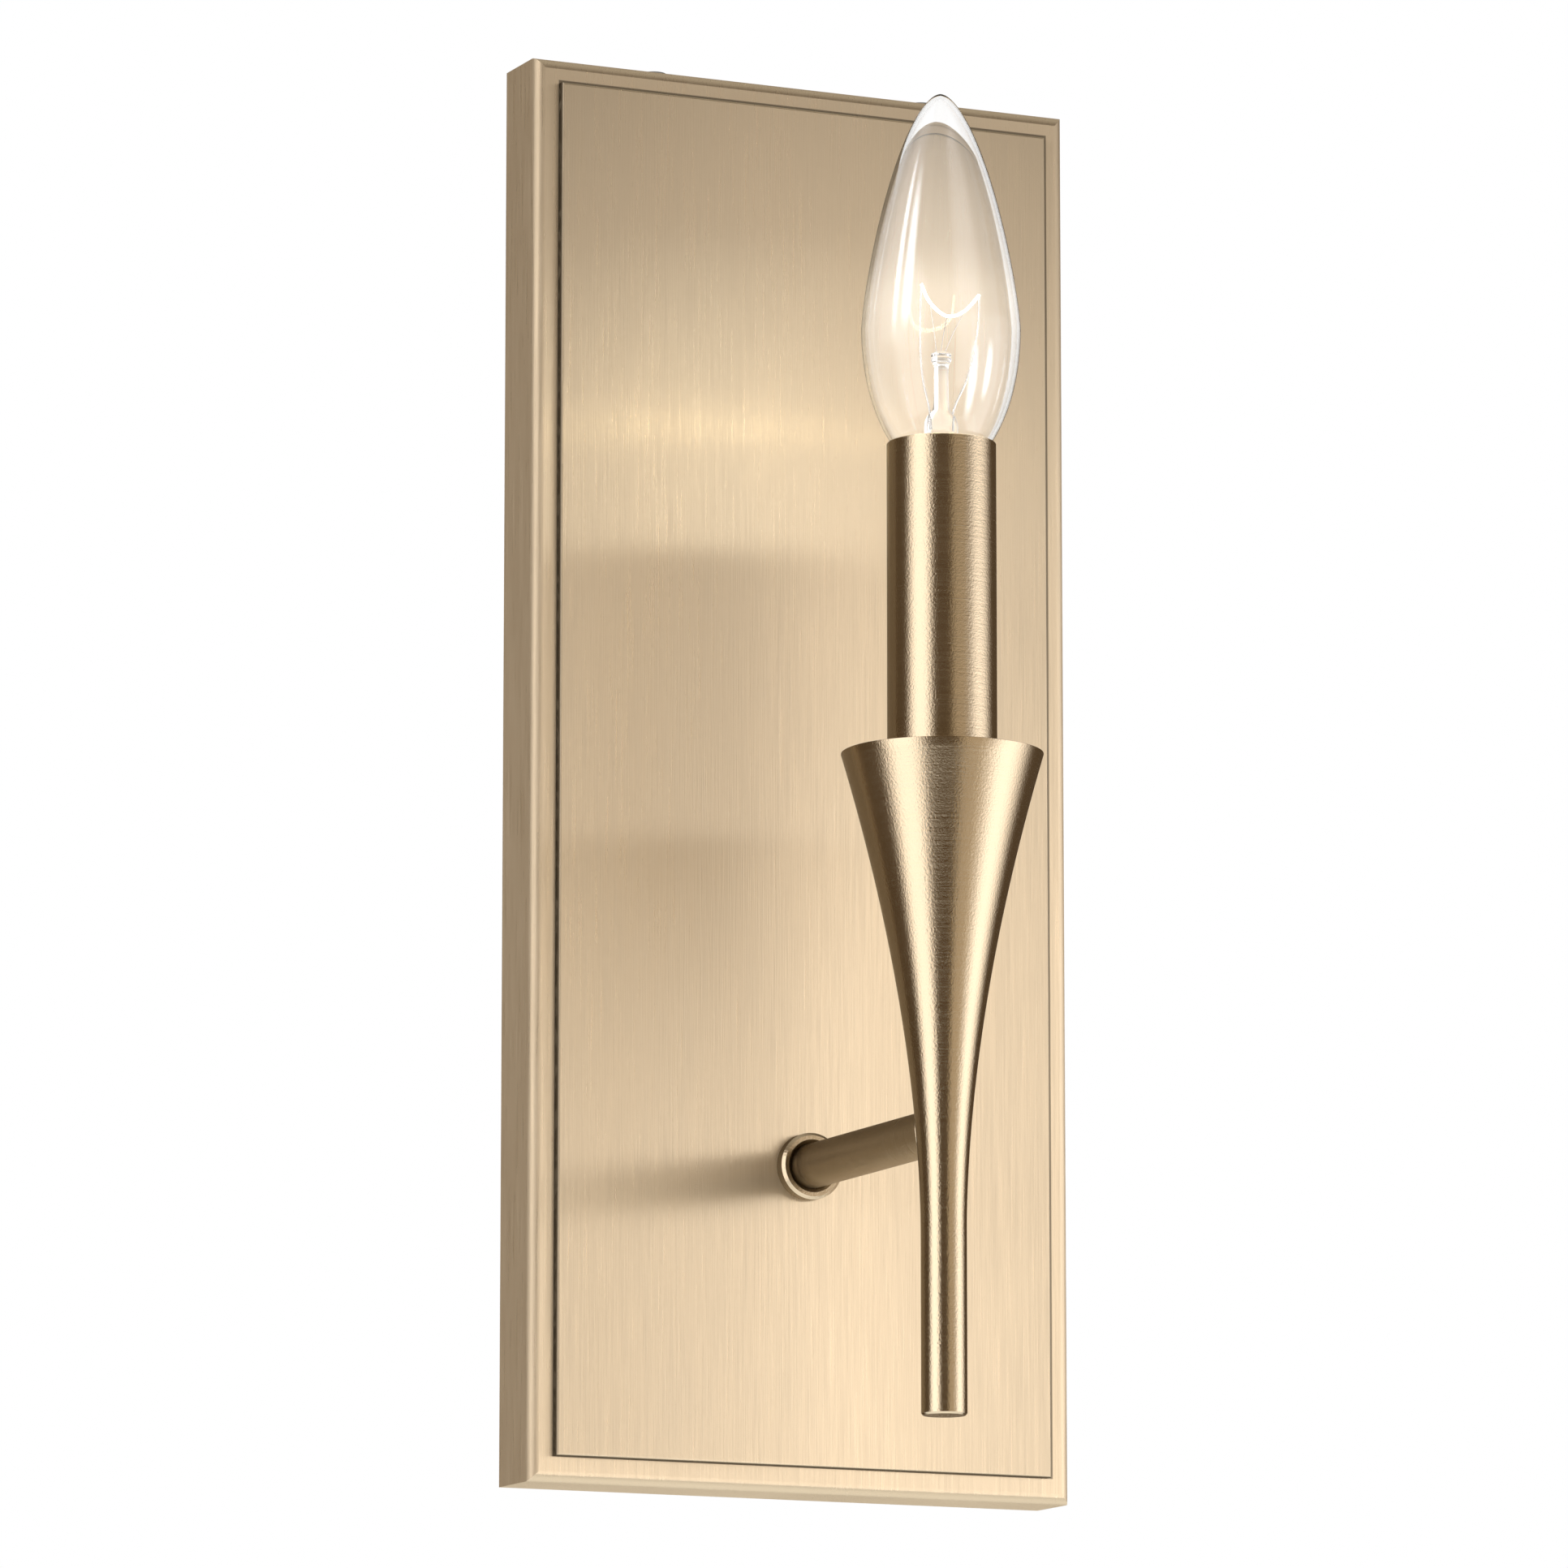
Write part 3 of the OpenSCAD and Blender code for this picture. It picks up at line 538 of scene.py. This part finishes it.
def make_trumpet():
    """Stem, cup and lip as one smooth turned form, from an outline of (radius, height) points."""
    foot = trumpet_lo.z
    outer = [step * FLARE_H / FLARE_STEPS + rim_z - FLARE_H for step in range(FLARE_STEPS)]
    hollow = [rim_z - HOLLOW_H * step / HOLLOW_STEPS for step in range(1, HOLLOW_STEPS + 1)]
    outline = [(0, foot), (arm_r - FOOT_CHAMFER, foot), (arm_r, foot + FOOT_CHAMFER)]
    outline += [(flare(z), z) for z in outer]
    outline += [
        (flare(rim_z - LIP), rim_z - LIP),
        (rim_r - 0.3 * LIP, rim_z - 0.3 * LIP),
        (rim_r - LIP, rim_z),
        (rim_r - SHELL_T + LIP, rim_z),
    ]
    outline += [(flare(z) - SHELL_T, z) for z in hollow]
    outline += [(NECK_R, rim_z - HOLLOW_H), (NECK_R, rim_z - NECK_H), (0, rim_z - NECK_H)]
    piece = loft("trumpet", [circle(radius, z, TRUMPET_SIDES) for radius, z in outline])
    paint(piece, candle_bronze)
    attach(piece, "fixture")
    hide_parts("trumpet_shell")


def make_braze():
    """Fine fillet of filler metal where the arm meets the stem."""
    radius = arm_r + BRAZE_OUT
    route = []
    for step in range(BRAZE_STEPS):
        a = 2 * math.pi * step / BRAZE_STEPS
        x = radius * math.cos(a)
        z = arm_z + radius * math.sin(a)
        route.append((candle.x + x, candle.y + math.sqrt(max(0.0, flare(z) ** 2 - x * x)), z))
    piece = traced_wire("arm_braze", route, BRAZE_R, 3, closed=True)
    paint(piece, arm_bronze)
    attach(piece, "fixture")


# ---- Lamp ----

GLASS_T = 0.7 * MM
BELLY_H = 28.1 * MM               # height of the widest place above the neck's end
BELLY_STEPS = 30
LOWER_L = 31 * MM                 # half axis of the ellipse below it
FLAME_STEPS = 60
BOW, BLUNT = 1.3, 0.58            # powers that bow the flame above it and blunt its tip
TIP_THICKER = 0.5 * MM            # how much thicker the wall gets at the drawn tip
TIP_POWER = 12                    # how suddenly it does
GLASS_SIDES = 128

belly_z = glass_lo.z + BELLY_H


def bulb(z):
    """Radius of the envelope at height z: a half ellipse below the belly, a pointed flame above it."""
    if z < belly_z:
        return glass_r * math.sqrt(1 - ((belly_z - z) / LOWER_L) ** 2)
    share = min(1.0, (z - belly_z) / (glass_hi.z - belly_z))
    return glass_r * (1 - share ** BOW) ** BLUNT


def make_envelope():
    """Blown glass. Its inside follows its outside at the wall's thickness, and ends in a point under the
    tip."""
    flame_h = glass_hi.z - belly_z
    heights = [glass_lo.z + BELLY_H * step / BELLY_STEPS for step in range(BELLY_STEPS)]
    heights += [
        belly_z + flame_h * math.sin(math.pi / 2 * step / FLAME_STEPS) for step in range(FLAME_STEPS + 1)
    ]
    outer = [(bulb(z), z) for z in heights]
    inner = []
    for (r0, z0), (r, z), (r1, z1) in zip(outer, outer[1:], outer[2:]):
        length = math.hypot(r1 - r0, z1 - z0)
        tip_share = (z - glass_lo.z) / (glass_hi.z - glass_lo.z)
        wall = GLASS_T + TIP_THICKER * tip_share ** TIP_POWER
        radius = r - wall * (z1 - z0) / length
        if radius > 0:
            inner.append((radius, z + wall * (r1 - r0) / length))
    inner = [(outer[0][0] - GLASS_T, glass_lo.z)] + inner + [(0.0, inner[-1][1] + inner[-1][0] / 2)]
    rings = [circle(radius, z, GLASS_SIDES) for radius, z in outer + inner[::-1]]
    piece = loft("lamp_envelope", rings, SOFT_CREASE, closed=True)
    paint(piece, envelope_glass)
    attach(piece, "lamp_bulb")
    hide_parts("lamp_glass")
    piece.visible_shadow = False  # or the clear glass would darken what is behind it
    return piece


# Sections of the glass mount: share of its height, half width and half depth in millimetres, and power
MOUNT = [
    (0.00, 5.3, 5.3, 2.0), (0.04, 4.6, 4.6, 2.0), (0.10, 3.7, 3.6, 2.0), (0.16, 3.4, 2.9, 2.2),
    (0.21, 3.6, 1.9, 3.0), (0.26, 3.7, 1.55, 4.0), (0.36, 3.6, 1.5, 4.0), (0.41, 3.0, 1.5, 3.0),
    (0.45, 1.9, 1.5, 2.2), (0.50, 1.6, 1.5, 2.0), (0.72, 1.5, 1.5, 2.0), (0.86, 1.5, 1.5, 2.0),
    (0.89, 1.8, 1.8, 2.0), (0.915, 2.25, 2.25, 2.0), (0.935, 2.2, 2.2, 2.0), (0.945, 1.95, 1.95, 2.0),
    (0.955, 2.2, 2.2, 2.0), (0.975, 2.2, 2.2, 2.0), (0.99, 1.7, 1.7, 2.0), (1.00, 0.9, 0.9, 2.0),
]
MOUNT_SIDES = 48


def rounded_ring(half_x, half_y, z, power):
    """Ring of a rounded rectangle: power 2 is an ellipse, and a higher one is squarer."""
    ring = []
    for step in range(MOUNT_SIDES):
        a = 2 * math.pi * step / MOUNT_SIDES
        c, s = math.cos(a), math.sin(a)
        x = half_x * math.copysign(abs(c) ** (2 / power), c)
        y = half_y * math.copysign(abs(s) ** (2 / power), s)
        ring.append((candle.x + x, candle.y + y, z))
    return ring


def make_mount():
    """Glass flare, pinched press, post and ribbed button in one drawn piece."""
    foot, top = stem_lo.z, stem_hi.z
    height = top - foot
    rings = [rounded_ring(x * MM, y * MM, foot + height * share, power) for share, x, y, power in MOUNT]
    rings.insert(0, [(candle.x, candle.y, foot)])
    rings.append([(candle.x, candle.y, top)])
    piece = loft("lamp_mount", rings, SOFT_CREASE)
    smooth = piece.modifiers.new("rounding", "SUBSURF")
    smooth.levels = 1
    smooth.render_levels = 1
    paint(piece, stem_glass)
    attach(piece, "lamp_bulb")
    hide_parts("lamp_stem")
    piece.visible_shadow = False  # or the clear glass would darken what is behind it


# Points that the filament passes, in millimetres from the candle's axis and z 0: two ends and three supports
FILAMENT = [(-5, -1, 93.6), (-2, 1, 90.4), (2.4, 2, 88.2), (5.6, 0.4, 89.2), (8, -2, 92.4)]
LEAD_R, SUPPORT_R = 0.22 * MM, 0.09 * MM
PRESS_SHARE = 0.40                # share of the mount's height at which the lead-in wires leave its press
COIL_R = 0.27 * MM
COIL_PITCH = 0.30 * MM
COIL_WIRE_R = 0.075 * MM
ROUTE_STEPS = 40                  # steps of the coil's middle line between two points of FILAMENT
TURN_STEPS = 10

# Supports, in millimetres: how deep their feet sit in the button, how far apart and how far behind the axis,
# how far their hooks are below the filament's line, and how far they bow up on the way
FOOT_DEPTH, FOOT_PITCH, FOOT_Y, HOOK_DROP, SUPPORT_BOW = 0.6, 0.8, 0.4, 0.2, 0.4


def at(x, y, z):
    """Place in metres of a point given in millimetres from the candle's axis."""
    return Vector((candle.x + x * MM, candle.y + y * MM, z * MM))


def make_lamp_wires():
    """Two lead-in wires from the press to the filament's ends, and three fine supports from the button."""
    press = (stem_lo.z + PRESS_SHARE * (stem_hi.z - stem_lo.z)) / MM
    button = stem_hi.z / MM - FOOT_DEPTH
    leads = [
        [
            at(-2.4, 0, press - 3), at(-2.7, 0, press + 1), at(-4.4, -0.2, press + 8),
            at(-5.1, -0.6, press + 17), at(*FILAMENT[0]),
        ],
        [
            at(2.4, 0, press - 3), at(2.7, 0, press + 1), at(5.9, -0.6, press + 9),
            at(7.7, -1.4, press + 18), at(*FILAMENT[-1]),
        ],
    ]
    piece = bent_wires("lamp_lead_wires", leads, LEAD_R)
    paint(piece, nickel_wire)
    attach(piece, "lamp_bulb")
    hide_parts("lamp_wires")
    supports = []
    for index, (x, y, z) in enumerate(FILAMENT[1:-1]):
        foot = at(FOOT_PITCH * (index - 1), FOOT_Y, button)
        hook = at(x, y, z - HOOK_DROP)
        middle = (foot + hook) / 2 + Vector((0, 0, SUPPORT_BOW * MM))
        supports.append([foot, middle, hook])
    piece = bent_wires("lamp_supports", supports, SUPPORT_R, resolution=2)
    paint(piece, nickel_wire)
    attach(piece, "lamp_bulb")


def smooth_route(points, steps):
    """Catmull-Rom curve through points, with that many steps between two of them."""
    last = len(points) - 1
    route = []
    for i in range(last):
        a, b = points[max(i - 1, 0)], points[i]
        c, d = points[i + 1], points[min(i + 2, last)]
        for step in range(steps):
            f = step / steps
            route.append(
                0.5 * ((2 * b) + (c - a) * f + (2 * a - 5 * b + 4 * c - d) * f * f
                       + (3 * b - a - 3 * c + d) * f ** 3)
            )
    route.append(points[-1])
    return route


def coil_around(route):
    """Points of a coil that winds along a route."""
    length = sum((q - p).length for p, q in zip(route, route[1:]))
    total = int(length / COIL_PITCH) * TURN_STEPS
    coil, travelled, index = [], 0.0, 0
    for step in range(total + 1):
        target = length * step / total
        while index < len(route) - 2 and travelled + (route[index + 1] - route[index]).length < target:
            travelled += (route[index + 1] - route[index]).length
            index += 1
        heading = (route[index + 1] - route[index]).normalized()
        place = route[index] + heading * min((route[index + 1] - route[index]).length, target - travelled)
        side = heading.cross(Vector((0, 0, 1))).normalized()
        up = side.cross(heading)
        angle = 2 * math.pi * step / TURN_STEPS
        coil.append(place + (side * math.cos(angle) + up * math.sin(angle)) * COIL_R)
    return coil


def make_filament():
    """Coil of fine tungsten along the route that the supports hold."""
    route = smooth_route([at(*point) for point in FILAMENT], ROUTE_STEPS)
    piece = traced_wire("lamp_coil", coil_around(route), COIL_WIRE_R, 1)
    paint(piece, filament_light)
    piece.visible_glossy = False  # polished metal mirrors the glass's painted glow in its place
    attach(piece, "lamp_bulb")
    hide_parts("lamp_filament")


make_trumpet()
make_braze()
envelope = make_envelope()
make_mount()
make_lamp_wires()
make_filament()

# ---- Studio ----

TARGET = Vector((-20.4, -50.0, -7.7)) * MM  # what the camera looks at
CAMERA_AZIMUTH, CAMERA_ELEVATION = -24.93, -9.93
CAMERA_DISTANCE = 1.874
CAMERA_LENS, SENSOR = 205.6, 36.0
FLOOR_Z = -2.4
FLOOR_HALF = 3.2

WHITE = (0.96, 1.0, 1.08)
NEUTRAL = (1.0, 0.975, 1.0)
WARM = (1.0, 0.86, 0.68)
AMBER = (1.0, 0.76, 0.50)

# The studio as polished metal mirrors it: colours by height, from straight down to straight up
DIM_WALL = (0.08, 0.055, 0.033)
STUDIO = [
    (0.00, (0.60, 0.54, 0.46)), (0.12, (0.36, 0.29, 0.21)), (0.20, DIM_WALL), (0.62, DIM_WALL),
    (0.78, (0.12, 0.09, 0.06)), (1.00, (0.40, 0.37, 0.33)),
]

# Hardware that back_fill lights
BEHIND_PLATE = (
    "box_strap", "pivot_nipple", "pivot_nut", "ground_screw", "hanger_bar", "plate_hooks", "panel_studs",
    "panel_nuts", "arm_washer", "ground_terminal", "arm_nut", "ground_lead", "wire_nuts",
)


def towards(azimuth, elevation):
    """Unit vector from the object. Azimuth 0 is straight out of the wall, and positive to the viewer's
    right."""
    a, e = math.radians(azimuth), math.radians(elevation)
    return Vector((math.sin(a) * math.cos(e), -math.cos(a) * math.cos(e), math.sin(e)))


def make_camera():
    """The photo's view."""
    data = bpy.data.cameras.new("camera")
    data.lens = CAMERA_LENS
    data.sensor_width = SENSOR
    data.clip_start = 0.05
    data.clip_end = 50
    camera = bpy.data.objects.new("camera", data)
    bpy.context.scene.collection.objects.link(camera)
    back = towards(CAMERA_AZIMUTH, CAMERA_ELEVATION)
    camera.location = TARGET + back * CAMERA_DISTANCE
    camera.rotation_mode = "QUATERNION"
    camera.rotation_quaternion = (-back).to_track_quat("-Z", "Y")
    bpy.context.scene.camera = camera


def softbox(name, azimuth, elevation, distance, width, height, radiance, tint, fades, only=()):
    """Rectangular light that faces the object. radiance is what a mirror would show of its middle, and
    fades are the shares of its size over which it dims towards its left, right, lower and upper edge, as the
    object sees it. Where only lists pieces, it is flagged off from all others."""
    data = bpy.data.lights.new(name, "AREA")
    data.shape = "RECTANGLE"
    data.size = width
    data.size_y = height
    data.color = tint
    data.energy = radiance * math.pi * width * height
    tree = Tree(data)
    place = tree.add("ShaderNodeNewGeometry").outputs["Parametric"]
    parts = tree.add("ShaderNodeSeparateXYZ", Vector=place).outputs
    left, right, lower, upper = fades
    edges = (("X", 0.0, left), ("X", 1.0, 1.0 - right), ("Y", 0.0, lower), ("Y", 1.0, 1.0 - upper))
    glow = 1.0
    for axis, start, end in edges:
        edge = tree.add(
            "ShaderNodeMapRange", {"interpolation_type": "SMOOTHSTEP"}, Value=parts[axis],
            From_Min=start, From_Max=end,
        ).outputs["Result"]
        glow = tree.math("MULTIPLY", edge, glow)
    light = tree.add("ShaderNodeEmission", Color=(1.0, 1.0, 1.0, 1.0), Strength=glow)
    tree.add("ShaderNodeOutputLight", Surface=light.outputs[0])
    lamp = bpy.data.objects.new(name, data)
    bpy.context.scene.collection.objects.link(lamp)
    away = towards(azimuth, elevation)
    lamp.location = TARGET + away * distance
    lamp.rotation_mode = "QUATERNION"
    lamp.rotation_quaternion = away.to_track_quat("Z", "Y")
    lamp.visible_camera = False
    if only:
        receivers = bpy.data.collections.new(name + "_receivers")
        for piece in only:
            receivers.objects.link(piece)
        lamp.light_linking.receiver_collection = receivers


def make_world():
    """White paper to the camera, to matt parts and through glass, and a dim warm studio in polished metal."""
    world = bpy.data.worlds.new("studio")
    bpy.context.scene.world = world
    tree = Tree(world)
    where = tree.add("ShaderNodeTexCoord").outputs["Generated"]
    height = tree.add("ShaderNodeSeparateXYZ", Vector=where).outputs["Z"]
    walls = tree.ramp(tree.span(height, -1.0, 1.0), STUDIO)
    studio = tree.add("ShaderNodeBackground", Color=walls, Strength=1.0)
    paper = tree.add("ShaderNodeBackground", Color=(1.0, 1.0, 1.0, 1.0), Strength=1.0)
    path = tree.add("ShaderNodeLightPath").outputs
    plain = tree.math("MAXIMUM", path["Is Camera Ray"], path["Is Diffuse Ray"])
    plain = tree.math("MAXIMUM", plain, path["Is Transmission Ray"])
    mixed = tree.add("ShaderNodeMixShader", Fac=plain)
    tree.plug(mixed.inputs[1], studio.outputs[0])
    tree.plug(mixed.inputs[2], paper.outputs[0])
    tree.add("ShaderNodeOutputWorld", Surface=mixed.outputs[0])
    world.cycles.sampling_method = "NONE"


def make_floor():
    """Pale floor far below the sconce."""
    half = FLOOR_HALF
    corners = [(-half, -half), (half, -half), (half, half), (-half, half)]
    floor = smooth_mesh("floor", [(x, y, FLOOR_Z) for x, y in corners], [(0, 1, 2, 3)])
    material, tree = new_material("pale_floor")
    colour = tree.mottle(tree.grain(30.0, detail=3.0), (grey(0.80), grey(0.84)))
    finish_surface(tree, tree.add("ShaderNodeBsdfPrincipled", Base_Color=colour, Roughness=0.9))
    paint(floor, material)


make_camera()
make_world()
make_floor()

# Azimuth, elevation, distance, width, height, radiance, tint, fades
softbox("left_softbox", -73, 0, 1.6, 2.14, 2.4, 1.35, NEUTRAL, (0.40, 0.34, 0.1, 0.1))
softbox("right_softbox", 61, -9, 1.6, 2.59, 2.2, 1.42, NEUTRAL, (0.42, 0.50, 0.1, 0.3))
softbox("front_fill", 11, -4, 2.4, 1.9, 2.4, 0.38, WARM, (0.35, 0.1, 0.1, 0.2))
softbox("back_left_fill", -155, 4, 2.0, 1.3, 2.4, 0.16, AMBER, (0.3, 0.3, 0.2, 0.4))
softbox(
    "panel_light", 22, -6, 1.8, 1.9, 2.4, 0.92, NEUTRAL, (0.3, 0.3, 0.1, 0.42),
    only=(nodes["face_panel"], nodes["back_plate"]),
)
softbox(
    "back_fill", 172, 8, 2.0, 1.6, 1.8, 0.60, WARM, (0.1, 0.1, 0.1, 0.1),
    only=[nodes[name] for name in BEHIND_PLATE],
)
softbox("lamp_left_strip", -78, 30, 1.6, 0.50, 1.3, 13.0, WHITE, (0.5, 0.5, 0.5, 0.5), only=(envelope,))
softbox("lamp_right_strip", 52, -4, 1.6, 0.40, 0.8, 13.0, WHITE, (0.5, 0.5, 0.5, 0.5), only=(envelope,))

bpy.context.scene.view_settings.view_transform = "Standard"
